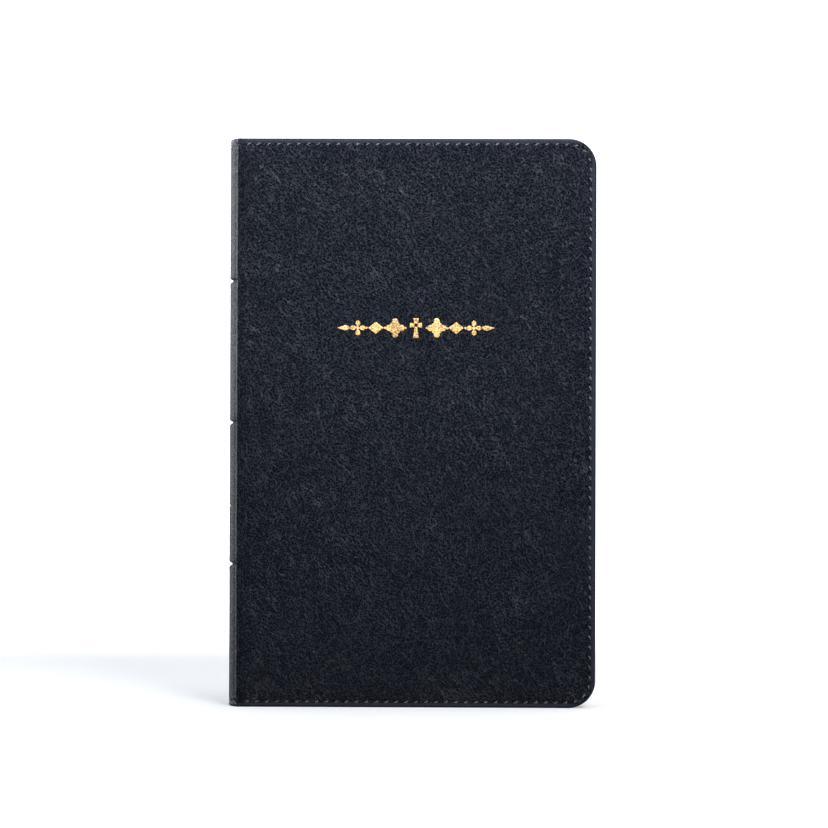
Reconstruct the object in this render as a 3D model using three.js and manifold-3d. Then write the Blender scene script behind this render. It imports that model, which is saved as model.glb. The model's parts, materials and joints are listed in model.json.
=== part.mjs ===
// A flexible leather-bound bible with a rounded spine, standing closed on its tail.
// Millimetres. +Z runs from tail to head, +X from the spine to the fore edge, and the front cover faces -Y.
// The origin is the centre of the footprint, on the surface that the book stands on.
import * as THREE from "three";
import { mergeVertices } from "three/addons/utils/BufferGeometryUtils.js";
import Module from "manifold-3d";

const wasm = await Module();
wasm.setup();

// ---- The closed book ----
const HEIGHT = 235;
const WIDTH = 152;
const THICKNESS = 26;
const SPINE_X = -WIDTH / 2; // the outermost line of the rounded spine
const FORE_X = WIDTH / 2; // the fore edge of the covers
const OUTER_Y = THICKNESS / 2; // the outer face of each cover

// ---- Covers: leather turned in round a thin board, with the pastedown over the turn-ins ----
const COVER_START_X = -69.8; // where the stiff cover begins, past the flexible joint
const CORNER_RADIUS = 11.3;
const COVER_THICKNESS = 2;
const LEATHER_SKIN = 0.8;
const BOARD_POCKET = 0.8;
const EDGE_WALL = 1;
const TURN_IN = 12;
const BOARD_PLAY = 0.05;
const BOARD_EDGE_PLAY = 0.1;
const PASTEDOWN_THICKNESS = 0.15;
const PASTEDOWN_INSET = 4;
const PASTEDOWN_HINGE_INSET = 0.8;

// ---- Stitching: one welt of thread in a sunk channel round head, fore edge and tail ----
const STITCH_INSET = 2.3;
const STITCH_WIDTH = 0.7;
const STITCH_DEPTH = 0.4;
const STITCH_PLAY = 0.05;
const STITCH_END_INSET = 0.6; // from each end of a spine welt to the joint

// ---- Foil: an ornament on the front cover and a small lozenge on the spine, both sunk ----
const ORNAMENT_HEIGHT = 8; // the cross is this tall
const ORNAMENT_X = 1.6;
const ORNAMENT_Z = (HEIGHT * 2) / 3;
const CROSS = { barHalf: 0.65, armHalf: 2.6, armRise: 1.1 };
const RULE_HALF_HEIGHT = 0.22; // the thin rule that joins the whole ornament
const ORNAMENT_LOZENGES = [
  { x: 8.6, halfLength: 3.9, halfHeight: 3.9 },
  { x: 16.6, halfLength: 3.1, halfHeight: 2.5 },
  { x: 24, halfLength: 3, halfHeight: 3 },
  { x: 29.2, halfLength: 3.3, halfHeight: 1.1 },
];
const FOIL_SINK = 0.3;
const FOIL_FLOOR_GAP = 0.02;
const FOIL_PLAY = 0.12;
const FOIL_THICKNESS = 0.2;
const SPINE_FOIL_Z = 83;
const SPINE_FOIL_WIDTH = 13;
const SPINE_FOIL_HEIGHT = 3.3;

// ---- Spine: a rounded leather shell with three pressed grooves, over a card inlay ----
const SPINE_SAGITTA = 4.2;
const SPINE_RADIUS = (OUTER_Y ** 2 + SPINE_SAGITTA ** 2) / (2 * SPINE_SAGITTA);
const SPINE_CENTRE_X = SPINE_X + SPINE_RADIUS;
const SPINE_END_X = SPINE_X + SPINE_SAGITTA;
const SPINE_LEATHER = 1;
const GROOVE_COUNT = 3;
const GROOVE_HEIGHT = 1.6;
const GROOVE_DEPTH = 1.1;
const GROOVE_INSIDE_DEPTH = 0.6;
const INLAY_THICKNESS = 0.3;
const INLAY_HALF_WIDTH = 6.5;
const INLAY_INSET = 6;
const INLAY_GAP = 0.1;
// The inlay's grooves are wider than the leather's, and widest inside, so that it keeps its thickness.
const INLAY_OUTSIDE_GROOVE = GROOVE_HEIGHT * 1.2;
const INLAY_INSIDE_GROOVE = GROOVE_HEIGHT * 1.3;
const TURN_SEGMENTS = 96;
const CURVE_SEGMENTS = 10;
const FOLD_SEGMENTS = 3;
// The flexible joint: a strip of bare leather, slightly sunk, between the shell and each stiff cover.
const JOINT_GAP = 0.1;
const JOINT_SINK = 0.3;
const JOINT_THICKNESS = 0.8;

// ---- Text block: sewn sections, whose folds lie on a slightly rounded back ----
const SQUARE = 3; // the covers' overhang past the pages at head and tail
const BACK_RADIUS = 80;
const FOLD_X = -70.6; // the folds at the middle of the back
const SECTION_COUNT = 18;
const SECTION_LENGTH = 143.4;
const SECTION_THICKNESS = 1.05;
const BLOCK_HALF = 10.4;
const RIBBON_GAP = 0.35; // spare room at the middle, where the ribbon lies
const SECTION_PITCH = (2 * BLOCK_HALF - RIBBON_GAP) / SECTION_COUNT;
const NECK_THICKNESS = 0.3; // the section at its sewn fold
const TAPER_LENGTH = 14;
const PAGE_CORNER_RADIUS = 9;
const FLYLEAF_THICKNESS = 0.2;
const FLYLEAF_X = -70.1;
const FLYLEAF_Y = 10.6;

// ---- Back of the text block, from the folds outwards ----
const THREAD_COUNT = 5;
const THREAD_OFFSET = 0.3;
const THREAD_DEPTH = 0.4;
const THREAD_HEIGHT = 0.8;
const THREAD_END_INSET = 27;
const THREAD_HALF_WIDTH = 9.9;
const SUPER = { offset: 0.8, depth: 0.2, inset: 8, half: 10 };
const LINING = { offset: 1.1, depth: 0.25, inset: 5, half: 9.8 };
const BAND_HALF_WIDTH = 9.8;
const BAND_OFFSET = 1.45; // the band's skirt, behind the lining
const BAND_SKIRT = 0.2;
const BAND_SKIRT_HEIGHT = 14;
const BAND_BEAD_LENGTH = 2.4;
const BAND_BEAD_HEIGHT = 1.6;
const BAND_CLEARANCE = 0.15;
const BOW_STEPS = 10;

const RIBBON_WIDTH = 6;
const RIBBON_THICKNESS = 0.2;
const RIBBON_X = -70;
const RIBBON_FOOT_Z = 10;
const RIBBON_TAB_HEIGHT = 5.5;
const RIBBON_TAB_REACH = 1.2;
const RIBBON_HEAD_GAP = 0.1;

// ---- Finishes ----
const finish = (color, roughness, metalness = 0) =>
  new THREE.MeshStandardMaterial({ color, roughness, metalness });
const LEATHER = { color: 0x20242c, roughness: 0.5 };
const FOIL = { color: 0xd9b76a, roughness: 0.3, metalness: 1 };
const THREAD = { color: 0x6b6d74, roughness: 0.7 };
const BOARD = { color: 0x9a8e7a, roughness: 0.9 };
const ENDPAPER = { color: 0xe9e2cf, roughness: 0.85 };
const PAPER = { color: 0xf3eee0, roughness: 0.9 };
const CLOTH = { color: 0xd8d2c2, roughness: 0.95 };
const BAND = { color: 0xc9a55a, roughness: 0.7 };
const RIBBON = { color: 0x1c2740, roughness: 0.4 };
const LINEN = { color: 0xf0ece2, roughness: 0.9 };

// A closed three.js geometry as a solid that can be joined and cut.
function solid(geometry) {
  const bare = geometry.clone();
  bare.deleteAttribute("normal");
  bare.deleteAttribute("uv");
  const merged = mergeVertices(bare, 1e-4);
  return new wasm.Manifold(
    new wasm.Mesh({
      numProp: 3,
      vertProperties: merged.attributes.position.array,
      triVerts: new Uint32Array(merged.index.array),
    }),
  );
}

function geometryOf(body) {
  const mesh = body.getMesh();
  const geometry = new THREE.BufferGeometry();
  geometry.setAttribute("position", new THREE.BufferAttribute(mesh.vertProperties, 3));
  geometry.setIndex(new THREE.BufferAttribute(mesh.triVerts, 1));
  geometry.computeVertexNormals();
  return geometry;
}

// An outline drawn in X and Z, as a plate between two Y positions.
function plateGeometry(outline, yLow, yHigh, steps = 1) {
  const options = { depth: yHigh - yLow, bevelEnabled: false, steps, curveSegments: CURVE_SEGMENTS };
  return new THREE.ExtrudeGeometry(outline, options).rotateX(Math.PI / 2).translate(0, yHigh, 0);
}
const plate = (outline, yLow, yHigh) => solid(plateGeometry(outline, yLow, yHigh));

function rectangle(xLow, xHigh, zLow, zHigh) {
  const corners = [
    [xLow, zLow],
    [xHigh, zLow],
    [xHigh, zHigh],
    [xLow, zHigh],
  ];
  return new THREE.Shape(corners.map(([x, z]) => new THREE.Vector2(x, z)));
}

// Square at the spine side, round at the two fore-edge corners.
function leafOutline(xLow, xHigh, zLow, zHigh, radius) {
  const outline = new THREE.Shape();
  outline.moveTo(xLow, zLow);
  outline.lineTo(xHigh - radius, zLow);
  outline.absarc(xHigh - radius, zLow + radius, radius, -Math.PI / 2, 0, false);
  outline.lineTo(xHigh, zHigh - radius);
  outline.absarc(xHigh - radius, zHigh - radius, radius, 0, Math.PI / 2, false);
  outline.lineTo(xLow, zHigh);
  return outline;
}

const coverOutline = (inset, hingeInset = inset) =>
  leafOutline(
    COVER_START_X + hingeInset,
    FORE_X - inset,
    inset,
    HEIGHT - inset,
    Math.max(CORNER_RADIUS - inset, 1),
  );

// A closed profile of [radius, z] points turned about the centre of the spine's rounding.
function turned(profile) {
  const points = [...profile, profile[0]].map(([radius, z]) => new THREE.Vector2(radius, z));
  const geometry = new THREE.LatheGeometry(points, TURN_SEGMENTS);
  return solid(geometry.rotateX(Math.PI / 2).translate(SPINE_CENTRE_X, 0, 0));
}

// The stretch of a turned ring that lies on the spine.
function spineStretch(profile, halfWidth = OUTER_Y) {
  const window = rectangle(SPINE_X - THICKNESS, SPINE_END_X, -HEIGHT, HEIGHT * 2);
  return turned(profile).intersect(plate(window, -halfWidth, halfWidth));
}

// Bends a piece that is straight in Y to the rounding of the text block's back.
function bowed(outline, halfWidth) {
  const geometry = plateGeometry(outline, -halfWidth, halfWidth, BOW_STEPS);
  const position = geometry.attributes.position;
  for (let i = 0; i < position.count; i++) {
    position.setX(i, position.getX(i) + backBow(position.getY(i)));
  }
  return solid(geometry);
}
const backBow = (y) => BACK_RADIUS - Math.sqrt(BACK_RADIUS ** 2 - y ** 2);

const book = new THREE.Group();
function piece(name, body, look, parent = book) {
  const mesh = new THREE.Mesh(geometryOf(body), finish(look.color, look.roughness, look.metalness));
  mesh.name = name;
  parent.add(mesh);
  return mesh;
}

// ---- Ornament: a small cross between two rows of lozenges on a thin rule ----
function lozenge(x, z, halfLength, halfHeight) {
  const points = [
    [x - halfLength, z],
    [x, z - halfHeight],
    [x + halfLength, z],
    [x, z + halfHeight],
  ];
  return new THREE.Shape(points.map(([px, pz]) => new THREE.Vector2(px, pz)));
}

function ornament(grow, yLow, yHigh) {
  const part = (outline) => plate(outline, yLow, yHigh);
  const bar = (halfLength, halfHeight, z) =>
    part(rectangle(-halfLength - grow, halfLength + grow, z - halfHeight - grow, z + halfHeight + grow));
  let body = bar(CROSS.barHalf, ORNAMENT_HEIGHT / 2, 0);
  body = body.add(bar(CROSS.armHalf, CROSS.barHalf, CROSS.armRise));
  body = body.add(bar(ORNAMENT_LOZENGES.at(-1).x, RULE_HALF_HEIGHT, 0));
  for (const { x, halfLength, halfHeight } of ORNAMENT_LOZENGES) {
    for (const side of [-1, 1]) {
      body = body.add(part(lozenge(side * x, 0, halfLength + grow * 2, halfHeight + grow)));
    }
  }
  return body.translate([ORNAMENT_X, 0, ORNAMENT_Z]);
}

// ---- Covers, drawn for the front; the back cover is its mirror image, without the ornament ----
function stitchChannel(play, depth) {
  const halfWidth = STITCH_WIDTH / 2 + play;
  const outer = coverOutline(STITCH_INSET - halfWidth, 0.1 - play * 4);
  const inner = coverOutline(STITCH_INSET + halfWidth, -2);
  const low = -OUTER_Y - (play ? 1 : -STITCH_PLAY);
  const high = -OUTER_Y + depth;
  return plate(outer, low, high).subtract(plate(inner, low - 1, high + 1));
}

function coverLeather(withOrnament) {
  const pocketLow = -OUTER_Y + LEATHER_SKIN;
  const pocketHigh = pocketLow + BOARD_POCKET;
  const inside = -OUTER_Y + COVER_THICKNESS;
  let body = plate(coverOutline(0), -OUTER_Y, inside);
  body = body.subtract(plate(coverOutline(EDGE_WALL), pocketLow, pocketHigh));
  body = body.subtract(plate(coverOutline(TURN_IN), pocketLow, inside + 1));
  body = body.subtract(stitchChannel(STITCH_PLAY, STITCH_DEPTH + STITCH_PLAY));
  if (withOrnament) {
    body = body.subtract(ornament(FOIL_PLAY, -OUTER_Y - 1, -OUTER_Y + FOIL_SINK));
  }
  return body;
}

function cover(side, withOrnament) {
  const group = new THREE.Group();
  const boardLow = -OUTER_Y + LEATHER_SKIN + BOARD_PLAY;
  const boardHigh = boardLow + BOARD_POCKET - 2 * BOARD_PLAY;
  const boardBody = plate(coverOutline(EDGE_WALL + BOARD_EDGE_PLAY), boardLow, boardHigh);
  const pasteLow = -OUTER_Y + COVER_THICKNESS + BOARD_PLAY;
  const pasteOutline = coverOutline(PASTEDOWN_INSET, PASTEDOWN_HINGE_INSET);
  const pastedown = plate(pasteOutline, pasteLow, pasteLow + PASTEDOWN_THICKNESS);
  piece(`${side}_cover_leather`, coverLeather(withOrnament), LEATHER, group);
  piece(`${side}_cover_board`, boardBody, BOARD, group);
  piece(`${side}_pastedown`, pastedown, ENDPAPER, group);
  piece(`${side}_cover_stitching`, stitchChannel(0, STITCH_DEPTH), THREAD, group);
  book.add(group);
  return group;
}

const front = cover("front", true);
const foilLow = -OUTER_Y + FOIL_SINK - FOIL_THICKNESS;
piece("front_foil_ornament", ornament(0, foilLow, foilLow + FOIL_THICKNESS - FOIL_FLOOR_GAP), FOIL, front);
cover("back", false).scale.y = -1;

// ---- Spine shell: [radius, z] up the outside, with its channels and grooves, and down the inside ----
const grooveHeights = Array.from(
  { length: GROOVE_COUNT },
  (_, i) => ((i + 1) * HEIGHT) / (GROOVE_COUNT + 1),
);

function dipped(radius, depth, halfHeight) {
  return grooveHeights.flatMap((z) => [
    [radius, z - halfHeight],
    [radius - depth, z - halfHeight / 4],
    [radius - depth, z + halfHeight / 4],
    [radius, z + halfHeight],
  ]);
}

function channel(z) {
  const halfWidth = STITCH_WIDTH / 2 + STITCH_PLAY;
  const floor = SPINE_RADIUS - STITCH_DEPTH - STITCH_PLAY;
  return [
    [SPINE_RADIUS, z - halfWidth],
    [floor, z - halfWidth],
    [floor, z + halfWidth],
    [SPINE_RADIUS, z + halfWidth],
  ];
}

const shellInside = SPINE_RADIUS - SPINE_LEATHER;
const shellProfile = [
  [SPINE_RADIUS, 0],
  ...channel(STITCH_INSET),
  ...dipped(SPINE_RADIUS, GROOVE_DEPTH, GROOVE_HEIGHT / 2),
  ...channel(HEIGHT - STITCH_INSET),
  [SPINE_RADIUS, HEIGHT],
  [shellInside, HEIGHT],
  ...dipped(shellInside, GROOVE_INSIDE_DEPTH, GROOVE_HEIGHT).reverse(),
  [shellInside, 0],
];

function ring(inner, outer, zLow, zHigh) {
  return [
    [outer, zLow],
    [outer, zHigh],
    [inner, zHigh],
    [inner, zLow],
  ];
}

const foilRecess = spineStretch(
  ring(
    SPINE_RADIUS - FOIL_SINK,
    SPINE_RADIUS + 1,
    SPINE_FOIL_Z - SPINE_FOIL_HEIGHT / 2 - FOIL_PLAY,
    SPINE_FOIL_Z + SPINE_FOIL_HEIGHT / 2 + FOIL_PLAY,
  ),
  SPINE_FOIL_WIDTH / 2 + FOIL_PLAY,
);
piece("spine_leather", spineStretch(shellProfile).subtract(foilRecess), LEATHER);

// The lozenge is drawn in Y and Z and cut from a thin ring just above the recess's floor.
const lozengeCutter = new THREE.ExtrudeGeometry(
  lozenge(0, SPINE_FOIL_Z, SPINE_FOIL_WIDTH / 2, SPINE_FOIL_HEIGHT / 2),
  { depth: SPINE_RADIUS, bevelEnabled: false },
).applyMatrix4(
  new THREE.Matrix4().makeBasis(
    new THREE.Vector3(0, 1, 0),
    new THREE.Vector3(0, 0, 1),
    new THREE.Vector3(1, 0, 0),
  ),
).translate(SPINE_X - 1, 0, 0);
const foilRing = ring(
  SPINE_RADIUS - FOIL_SINK + FOIL_FLOOR_GAP,
  SPINE_RADIUS - FOIL_SINK + FOIL_THICKNESS,
  SPINE_FOIL_Z - SPINE_FOIL_HEIGHT,
  SPINE_FOIL_Z + SPINE_FOIL_HEIGHT,
);
piece("spine_foil_ornament", spineStretch(foilRing).intersect(solid(lozengeCutter)), FOIL);

const jointOutline = rectangle(SPINE_END_X + JOINT_GAP, COVER_START_X - JOINT_GAP, 0, HEIGHT);
for (const [name, y] of [
  ["front_joint_leather", -OUTER_Y + JOINT_SINK],
  ["back_joint_leather", OUTER_Y - JOINT_SINK - JOINT_THICKNESS],
]) {
  piece(name, plate(jointOutline, y, y + JOINT_THICKNESS), LEATHER);
}

const inlayOutside = shellInside - INLAY_GAP;
const inlayInside = inlayOutside - INLAY_THICKNESS;
const inlayProfile = [
  [inlayOutside, INLAY_INSET],
  ...dipped(inlayOutside, GROOVE_INSIDE_DEPTH, INLAY_OUTSIDE_GROOVE),
  [inlayOutside, HEIGHT - INLAY_INSET],
  [inlayInside, HEIGHT - INLAY_INSET],
  ...dipped(inlayInside, GROOVE_INSIDE_DEPTH, INLAY_INSIDE_GROOVE).reverse(),
  [inlayInside, INLAY_INSET],
];
piece("spine_inlay", spineStretch(inlayProfile, INLAY_HALF_WIDTH), BOARD);

for (const [name, z] of [
  ["spine_tail_stitching", STITCH_INSET],
  ["spine_head_stitching", HEIGHT - STITCH_INSET],
]) {
  const welt = ring(
    SPINE_RADIUS - STITCH_DEPTH,
    SPINE_RADIUS - STITCH_PLAY,
    z - STITCH_WIDTH / 2,
    z + STITCH_WIDTH / 2,
  );
  piece(name, spineStretch(welt, OUTER_Y - STITCH_END_INSET), THREAD);
}

// ---- Back of the text block ----
function backLayer({ offset, depth, inset, half }) {
  return bowed(rectangle(FOLD_X - offset - depth, FOLD_X - offset, inset, HEIGHT - inset), half);
}
piece("super_cloth", backLayer(SUPER), CLOTH);
piece("spine_lining", backLayer(LINING), BOARD);

for (let i = 0; i < THREAD_COUNT; i++) {
  const z = THREE.MathUtils.lerp(THREAD_END_INSET, HEIGHT - THREAD_END_INSET, i / (THREAD_COUNT - 1));
  const x = FOLD_X - THREAD_OFFSET;
  const outline = rectangle(x - THREAD_DEPTH, x, z - THREAD_HEIGHT / 2, z + THREAD_HEIGHT / 2);
  piece(`sewing_thread_${i + 1}`, bowed(outline, THREAD_HALF_WIDTH), LINEN);
}

// The bead sits on the end of the pages; its skirt is glued down the back, behind the lining.
function headBandOutline() {
  const low = HEIGHT - SQUARE + BAND_CLEARANCE;
  const high = low + BAND_BEAD_HEIGHT;
  const outside = FOLD_X - BAND_OFFSET - BAND_SKIRT;
  const radius = BAND_BEAD_HEIGHT / 2;
  const inside = outside + BAND_BEAD_LENGTH - radius;
  const outline = new THREE.Shape();
  outline.moveTo(outside, low - BAND_SKIRT_HEIGHT);
  outline.lineTo(outside + BAND_SKIRT, low - BAND_SKIRT_HEIGHT);
  outline.lineTo(outside + BAND_SKIRT, low);
  outline.absarc(inside, low + radius, radius, -Math.PI / 2, Math.PI / 2, false);
  outline.absarc(outside + radius, high - radius, radius, Math.PI / 2, Math.PI, false);
  return outline;
}
const headBand = bowed(headBandOutline(), BAND_HALF_WIDTH);
piece("head_band", headBand, BAND);
piece("tail_band", headBand.mirror([0, 0, 1]).translate([0, 0, HEIGHT]), BAND);

// The ribbon hangs from a tab that is glued under the head band, and lies between the middle sections.
const ribbonTop = HEIGHT - SQUARE - RIBBON_HEAD_GAP;
const ribbonStrip = rectangle(RIBBON_X, RIBBON_X + RIBBON_WIDTH, RIBBON_FOOT_Z, ribbonTop);
const ribbonTab = rectangle(
  RIBBON_X - RIBBON_TAB_REACH,
  RIBBON_X + 1,
  ribbonTop - RIBBON_TAB_HEIGHT,
  ribbonTop,
);
const ribbonHalf = RIBBON_THICKNESS / 2;
const ribbon = plate(ribbonStrip, -ribbonHalf, ribbonHalf).add(plate(ribbonTab, -ribbonHalf, ribbonHalf));
piece("ribbon_marker", ribbon, RIBBON);

// ---- Sections and flyleaves: each is drawn with its sewn fold on the Z axis ----
function leafBody(length, fold, thickness, taper) {
  const plan = new THREE.Shape();
  plan.absarc(0, 0, fold / 2, Math.PI / 2, (3 * Math.PI) / 2, false);
  plan.lineTo(taper, -thickness / 2);
  plan.lineTo(length, -thickness / 2);
  plan.lineTo(length, thickness / 2);
  plan.lineTo(taper, thickness / 2);
  const options = { depth: HEIGHT, bevelEnabled: false, curveSegments: FOLD_SEGMENTS };
  const prism = solid(new THREE.ExtrudeGeometry(plan, options));
  const leaf = leafOutline(-1, length, SQUARE, HEIGHT - SQUARE, PAGE_CORNER_RADIUS);
  return prism.intersect(plate(leaf, -thickness, thickness));
}

const sectionBody = leafBody(SECTION_LENGTH, NECK_THICKNESS, SECTION_THICKNESS, TAPER_LENGTH);
for (let i = 0; i < SECTION_COUNT; i++) {
  const pastRibbon = i < SECTION_COUNT / 2 ? 0 : RIBBON_GAP;
  const y = -BLOCK_HALF + (i + 0.5) * SECTION_PITCH + pastRibbon;
  const mesh = piece(`section_${String(i + 1).padStart(2, "0")}`, sectionBody, PAPER);
  mesh.position.set(FOLD_X + backBow(y), y, 0);
}

const flyleafBody = leafBody(SECTION_LENGTH, FLYLEAF_THICKNESS, FLYLEAF_THICKNESS, TAPER_LENGTH);
for (const [name, side] of [
  ["front_flyleaf", -1],
  ["back_flyleaf", 1],
]) {
  piece(name, flyleafBody, ENDPAPER).position.set(FLYLEAF_X, side * FLYLEAF_Y, 0);
}

export default book;
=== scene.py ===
"""Looks for the leather-bound bible: leather, stitching, foil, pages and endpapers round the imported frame."""
import json
import math

import bmesh
import bpy
import numpy as np
from mathutils import Euler, Matrix, Vector

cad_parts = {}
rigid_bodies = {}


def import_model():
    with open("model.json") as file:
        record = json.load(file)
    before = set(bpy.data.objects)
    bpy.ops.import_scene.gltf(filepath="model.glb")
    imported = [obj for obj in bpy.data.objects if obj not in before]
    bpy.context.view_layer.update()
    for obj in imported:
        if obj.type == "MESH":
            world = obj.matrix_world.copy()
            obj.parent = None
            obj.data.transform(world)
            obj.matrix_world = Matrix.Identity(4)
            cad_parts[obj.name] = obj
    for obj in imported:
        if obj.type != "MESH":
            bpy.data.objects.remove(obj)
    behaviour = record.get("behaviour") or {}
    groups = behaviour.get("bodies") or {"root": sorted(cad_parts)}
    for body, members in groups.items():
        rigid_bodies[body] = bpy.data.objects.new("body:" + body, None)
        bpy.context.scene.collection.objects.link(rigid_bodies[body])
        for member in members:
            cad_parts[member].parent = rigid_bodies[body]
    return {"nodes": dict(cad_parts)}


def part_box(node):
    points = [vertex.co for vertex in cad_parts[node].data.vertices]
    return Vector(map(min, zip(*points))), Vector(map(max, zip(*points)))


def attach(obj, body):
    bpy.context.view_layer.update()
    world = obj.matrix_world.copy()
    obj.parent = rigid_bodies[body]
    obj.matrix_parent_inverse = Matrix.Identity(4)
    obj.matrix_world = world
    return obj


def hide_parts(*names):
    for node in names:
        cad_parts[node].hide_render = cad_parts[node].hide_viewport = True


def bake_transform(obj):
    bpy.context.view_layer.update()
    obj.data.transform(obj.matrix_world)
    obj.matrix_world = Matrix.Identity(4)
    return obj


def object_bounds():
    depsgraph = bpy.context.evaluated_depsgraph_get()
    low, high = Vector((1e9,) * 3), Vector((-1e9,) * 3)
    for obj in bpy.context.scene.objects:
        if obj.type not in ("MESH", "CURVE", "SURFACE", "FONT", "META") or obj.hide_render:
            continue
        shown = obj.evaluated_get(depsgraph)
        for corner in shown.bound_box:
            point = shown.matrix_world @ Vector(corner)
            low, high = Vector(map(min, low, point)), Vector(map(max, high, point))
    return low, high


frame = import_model()
cad_low, cad_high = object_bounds()

MM = 0.001


def box_mm(node):
    """The lowest and highest corner of a CAD node, in millimetres."""
    low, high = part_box(node)
    return np.array(low) / MM, np.array(high) / MM


# ---------------------------------------------------------------- sizes, in millimetres, from the frame
HEIGHT = cad_high[2] / MM
COVER_LOW, COVER_HIGH = box_mm("back_cover_leather")
COVER_START, FORE_X = COVER_LOW[0], COVER_HIGH[0]
OUTER_Y, INNER_Y = COVER_HIGH[1], COVER_LOW[1]
CORNER = 11.3
STITCH_INSET = 2.3
STITCH_PITCH = 4.12
SPINE_LOW, SPINE_HIGH = box_mm("spine_leather")
SPINE_X, SPINE_END = SPINE_LOW[0], SPINE_HIGH[0]
SAGITTA = SPINE_END - SPINE_X
SPINE_RADIUS = (OUTER_Y**2 + SAGITTA**2) / (2 * SAGITTA)
SPINE_CENTRE = SPINE_X + SPINE_RADIUS
SPINE_ANGLE = math.asin(OUTER_Y / SPINE_RADIUS)
GROOVES = [HEIGHT * k / 4 for k in (1, 2, 3)]
GROOVE_DEPTH = 1.25
GROOVE_REACH = 1.05
ORNAMENT_LOW, ORNAMENT_HIGH = box_mm("front_foil_ornament")
ORNAMENT_MID = (ORNAMENT_LOW + ORNAMENT_HIGH) / 2
ORNAMENT_HALF = (ORNAMENT_HIGH - ORNAMENT_LOW) / 2
SPINE_FOIL_LOW, SPINE_FOIL_HIGH = box_mm("spine_foil_ornament")
FRONT, BACK = -1, 1


# ---------------------------------------------------------------- small tools
def smooth(low, high, value):
    """0 below low, 1 above high, and an even curve between."""
    t = np.clip((value - low) / (high - low), 0, 1)
    return t * t * (3 - 2 * t)


def lattice(ix, iy, seed):
    """A repeatable number from 0 to 1 for each lattice point."""
    n = ix.astype(np.int64) * 374761393 + iy.astype(np.int64) * 668265263 + seed * 982451653
    n = (n ^ (n >> 13)) * 1274126177
    n = n ^ (n >> 16)
    return (n & 0xFFFF) / 65535.0


def value_noise(x, y, seed=0):
    """Smooth noise from -1 to 1 over a plane, one unit to a cell."""
    ix, iy = np.floor(x), np.floor(y)
    fx, fy = x - ix, y - iy
    fx, fy = fx * fx * (3 - 2 * fx), fy * fy * (3 - 2 * fy)
    near = lattice(ix, iy, seed) * (1 - fx) + lattice(ix + 1, iy, seed) * fx
    far = lattice(ix, iy + 1, seed) * (1 - fx) + lattice(ix + 1, iy + 1, seed) * fx
    return (near * (1 - fy) + far * fy) * 2 - 1


def leather_relief(x, z, seed):
    """Height in mm of the hide's long soft creases and slow swells over the cover or spine."""
    drift = 7 * value_noise(x / 34, z / 41, seed + 3)
    along = (x + z) * 0.7071 + drift
    across = (x - z) * 0.7071 + 0.6 * drift
    crease = 1 - np.abs(value_noise(along / 6.5, across / 23, seed + 5))
    second = 1 - np.abs(value_noise(x / 4.2 + drift / 3, z / 9.5, seed + 7))
    patch = smooth(-0.2, 0.6, value_noise(x / 27, z / 31, seed + 9))
    swell = value_noise(x / 18, z / 24, seed + 11)
    pebble = value_noise(x / 1.5, z / 1.5, seed + 13)
    creases = smooth(0.86, 1, crease) * patch + 0.5 * smooth(0.88, 1, second) * (1 - patch)
    return 0.035 * swell + 0.016 * pebble - 0.075 * creases


def mesh_object(name, verts, faces, materials, face_material=None, flat=False):
    """A mesh object from points in mm, with its faces pointing out."""
    mesh = bpy.data.meshes.new(name)
    mesh.from_pydata((np.asarray(verts, float) * MM).tolist(), [], faces)
    for material in materials:
        mesh.materials.append(material)
    if face_material is not None:
        mesh.polygons.foreach_set("material_index", np.asarray(face_material, np.int32))
    work = bmesh.new()
    work.from_mesh(mesh)
    bmesh.ops.recalc_face_normals(work, faces=work.faces)
    work.to_mesh(mesh)
    work.free()
    mesh.polygons.foreach_set("use_smooth", np.full(len(mesh.polygons), not flat))
    obj = bpy.data.objects.new(name, mesh)
    bpy.context.scene.collection.objects.link(obj)
    return obj


def piece(name, verts, faces, materials, body, slot, replaces=(), **options):
    """A mesh piece that rides on one body."""
    obj = mesh_object(name, verts, faces, materials, **options)
    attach(obj, body)
    if replaces:
        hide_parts(*replaces)
    return obj


def quads(rows, cols, first=0, wrap=False):
    """Faces of a grid of vertices; wrap joins the last column to the first."""
    index = first + np.arange(rows * cols).reshape(rows, cols)
    if wrap:
        index = np.hstack([index, index[:, :1]])
    corners = [index[:-1, :-1], index[:-1, 1:], index[1:, 1:], index[1:, :-1]]
    return np.stack(corners, -1).reshape(-1, 4).tolist()


def slab(outer, inner):
    """A closed shell between two grids of points of the same size."""
    rows, cols = outer.shape[:2]
    count = rows * cols
    index = np.arange(count).reshape(rows, cols)
    rim = np.concatenate([index[0], index[1:, -1], index[-1, -2::-1], index[-2:0:-1, 0]])
    after = np.roll(rim, -1)
    sides = np.stack([rim, after, after + count, rim + count], -1).tolist()
    verts = np.concatenate([outer.reshape(-1, 3), inner.reshape(-1, 3)])
    return verts, quads(rows, cols) + quads(rows, cols, count) + sides


TUBE_SIDES = 6


def tube(points, radius):
    """A closed tube along a short run of points."""
    points = np.asarray(points, float)
    tangent = np.gradient(points, axis=0)
    tangent /= np.linalg.norm(tangent, axis=1)[:, None]
    helper = np.array([0.3, 0.9, 0.1])
    side = np.cross(tangent, helper)
    side /= np.linalg.norm(side, axis=1)[:, None]
    up = np.cross(tangent, side)
    turn = np.linspace(0, 2 * np.pi, TUBE_SIDES, endpoint=False)
    ring = side[:, None] * np.cos(turn)[None, :, None] + up[:, None] * np.sin(turn)[None, :, None]
    verts = (points[:, None] + ring * radius).reshape(-1, 3)
    count = len(points)
    caps = [list(range(TUBE_SIDES)), list(range((count - 1) * TUBE_SIDES, count * TUBE_SIDES))]
    return verts, quads(count, TUBE_SIDES, wrap=True) + caps


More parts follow.
